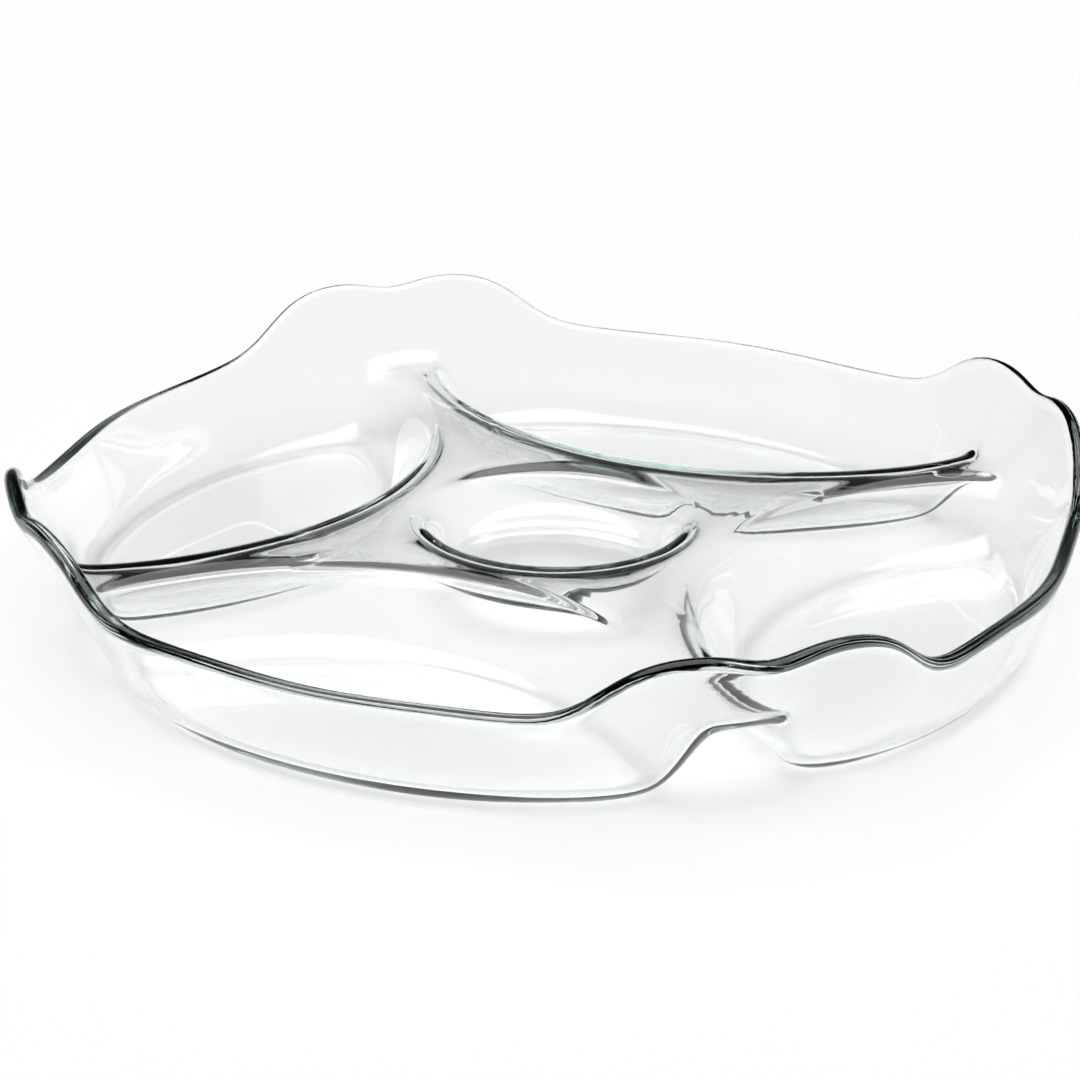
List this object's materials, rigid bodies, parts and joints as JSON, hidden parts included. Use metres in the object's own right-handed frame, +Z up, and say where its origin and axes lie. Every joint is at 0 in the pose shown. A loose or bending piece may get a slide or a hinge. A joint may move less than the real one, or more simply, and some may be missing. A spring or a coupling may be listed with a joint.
{
  "type": "chip and dip server",
  "caption": "Clear pressed-glass serving dish with half-moon compartments round a centre dip well, hollow ridges between them and a wavy rim raised at each ridge.",
  "frame": {"origin": "on the table, under the middle of the dip well", "axes": "+Z up along the well's axis; the ridges between the compartments lie along X and Y"},
  "size_m": [0.2832, 0.2832, 0.044],
  "materials": {
    "clear_glass": "clear, fire-polished, faintly green in its thickness"
  },
  "bodies": {
    "root": {"glass_dish": "clear_glass"}
  },
  "joints": []
}
